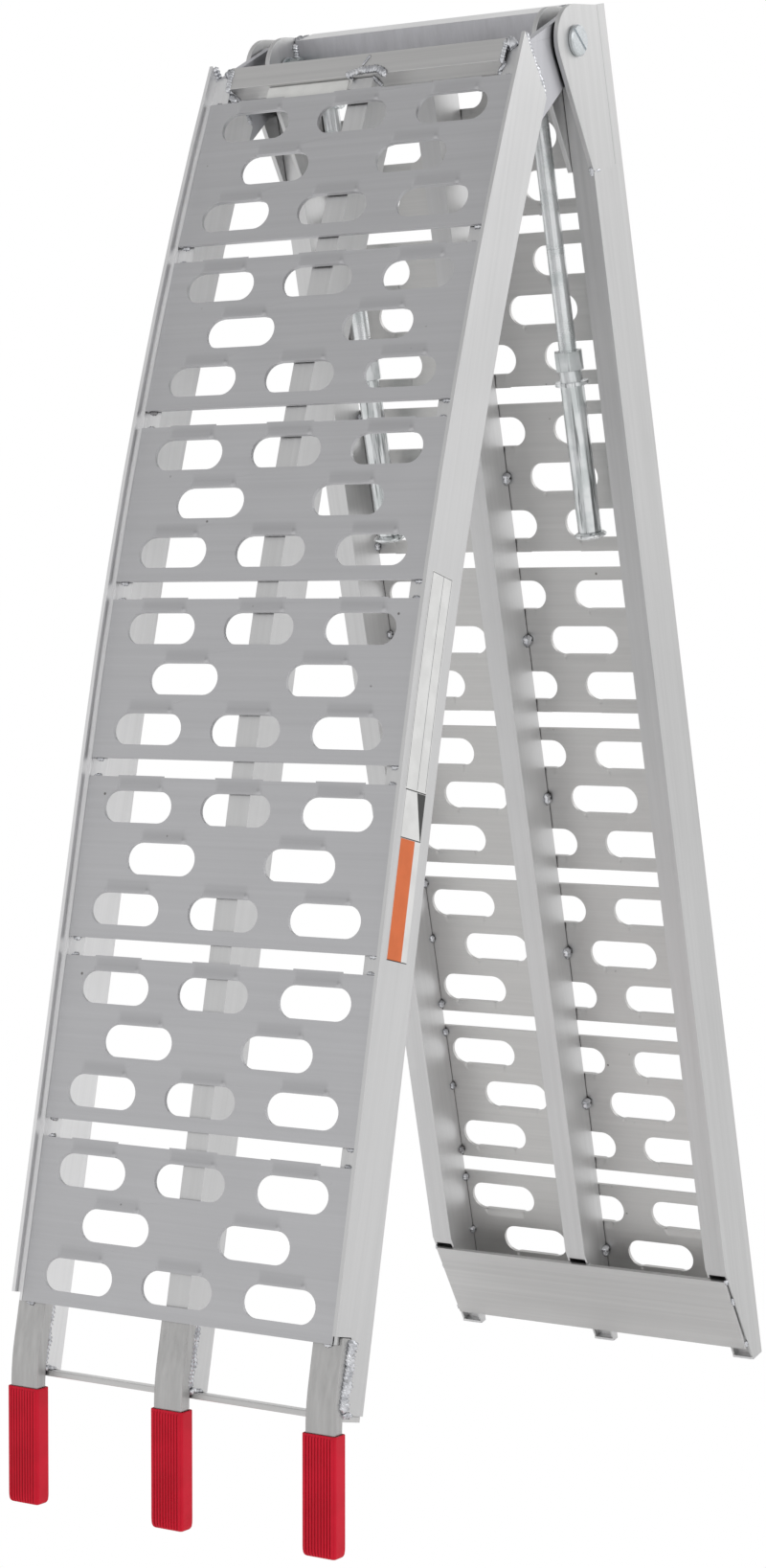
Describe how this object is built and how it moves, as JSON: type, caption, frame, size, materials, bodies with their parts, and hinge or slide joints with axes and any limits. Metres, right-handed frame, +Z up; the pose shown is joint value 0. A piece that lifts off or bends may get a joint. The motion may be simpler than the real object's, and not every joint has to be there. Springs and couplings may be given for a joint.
{
  "type": "folding loading ramp",
  "caption": "Arched aluminium loading ramp that folds in half, with slotted tread plates, rubber-sleeved prongs, a bevelled foot and swing-down support legs",
  "frame": {"origin": "on the ground, under the middle of the ramp's box as it stands folded like a letter A", "axes": "X across the ramp (mirror plane at X = 0), -Y towards the upper half with the prongs, +Y towards the lower half with the foot plate, +Z up"},
  "size_m": [0.2976, 0.648, 1.1092],
  "materials": {
    "frame_aluminium": "mill-finish extruded aluminium, lightly brushed along its length",
    "tread_aluminium": "satin grey aluminium plate with punched slots",
    "zinc_steel": "bright zinc-plated steel",
    "red_rubber": "soft red rubber, satin",
    "white_nylon": "natural nylon"
  },
  "bodies": {
    "lower_half": {"lower_rail_left": "frame_aluminium", "lower_rail_centre": "frame_aluminium", "lower_rail_right": "frame_aluminium", "lower_tread_1": "tread_aluminium", "lower_tread_2": "tread_aluminium", "lower_tread_3": "tread_aluminium", "lower_tread_4": "tread_aluminium", "lower_tread_5": "tread_aluminium", "lower_tread_6": "tread_aluminium", "lower_tread_7": "tread_aluminium", "lower_tread_8": "tread_aluminium", "lower_hinge_crossbar": "frame_aluminium", "foot_plate": "frame_aluminium", "hinge_cheek_outer_left": "frame_aluminium", "hinge_cheek_outer_right": "frame_aluminium", "hinge_cheek_inner_left": "frame_aluminium", "hinge_cheek_inner_right": "frame_aluminium", "hinge_bolt_left": "zinc_steel", "hinge_bolt_right": "zinc_steel", "hinge_nut_left": "zinc_steel", "hinge_nut_right": "zinc_steel", "hinge_washer_left": "zinc_steel", "hinge_washer_right": "zinc_steel", "hinge_shim_left": "white_nylon", "hinge_shim_right": "white_nylon", "hinge_spacer_left": "white_nylon", "hinge_spacer_right": "white_nylon", "support_bracket_left": "zinc_steel", "support_bracket_right": "zinc_steel", "support_pin_left": "zinc_steel", "support_pin_right": "zinc_steel"},
    "upper_half": {"upper_rail_left": "frame_aluminium", "upper_rail_centre": "frame_aluminium", "upper_rail_right": "frame_aluminium", "upper_tread_1": "tread_aluminium", "upper_tread_2": "tread_aluminium", "upper_tread_3": "tread_aluminium", "upper_tread_4": "tread_aluminium", "upper_tread_5": "tread_aluminium", "upper_tread_6": "tread_aluminium", "upper_tread_7": "tread_aluminium", "upper_hinge_crossbar": "frame_aluminium", "upper_tip_crossbar": "frame_aluminium", "hinge_ear_left": "frame_aluminium", "hinge_ear_right": "frame_aluminium", "prong_left": "frame_aluminium", "prong_centre": "frame_aluminium", "prong_right": "frame_aluminium", "prong_sleeve_left": "red_rubber", "prong_sleeve_centre": "red_rubber", "prong_sleeve_right": "red_rubber"},
    "support_leg_left": {"support_rod_left": "zinc_steel"},
    "support_foot_left": {"support_tube_left": "zinc_steel", "support_lock_nut_left": "zinc_steel", "support_foot_left": "zinc_steel"},
    "support_leg_right": {"support_rod_right": "zinc_steel"},
    "support_foot_right": {"support_tube_right": "zinc_steel", "support_lock_nut_right": "zinc_steel", "support_foot_right": "zinc_steel"}
  },
  "joints": [
    {"name": "fold", "type": "hinge", "parent": "lower_half", "child": "upper_half", "pos_m": [0, 0.04834, 1.07635], "axis": [-1, 0, 0], "range_deg": [0, 124]},
    {"name": "support_swing_left", "type": "hinge", "parent": "lower_half", "child": "support_leg_left", "pos_m": [-0.096, 0.06713, 1.05598], "axis": [-1, 0, 0], "range_deg": [0, 93]},
    {"name": "support_extend_left", "type": "slide", "parent": "support_leg_left", "child": "support_foot_left", "axis": [0, 0.2055, -0.9787], "range_m": [-0.015, 0.07]},
    {"name": "support_swing_right", "type": "hinge", "parent": "lower_half", "child": "support_leg_right", "pos_m": [0.096, 0.06713, 1.05598], "axis": [-1, 0, 0], "range_deg": [0, 93]},
    {"name": "support_extend_right", "type": "slide", "parent": "support_leg_right", "child": "support_foot_right", "axis": [0, 0.2055, -0.9787], "range_m": [-0.015, 0.07]}
  ],
  "couplings": [
    {"joint": "support_swing_left", "follows": "fold", "ratio": 0.75},
    {"joint": "support_swing_right", "follows": "fold", "ratio": 0.75}
  ]
}
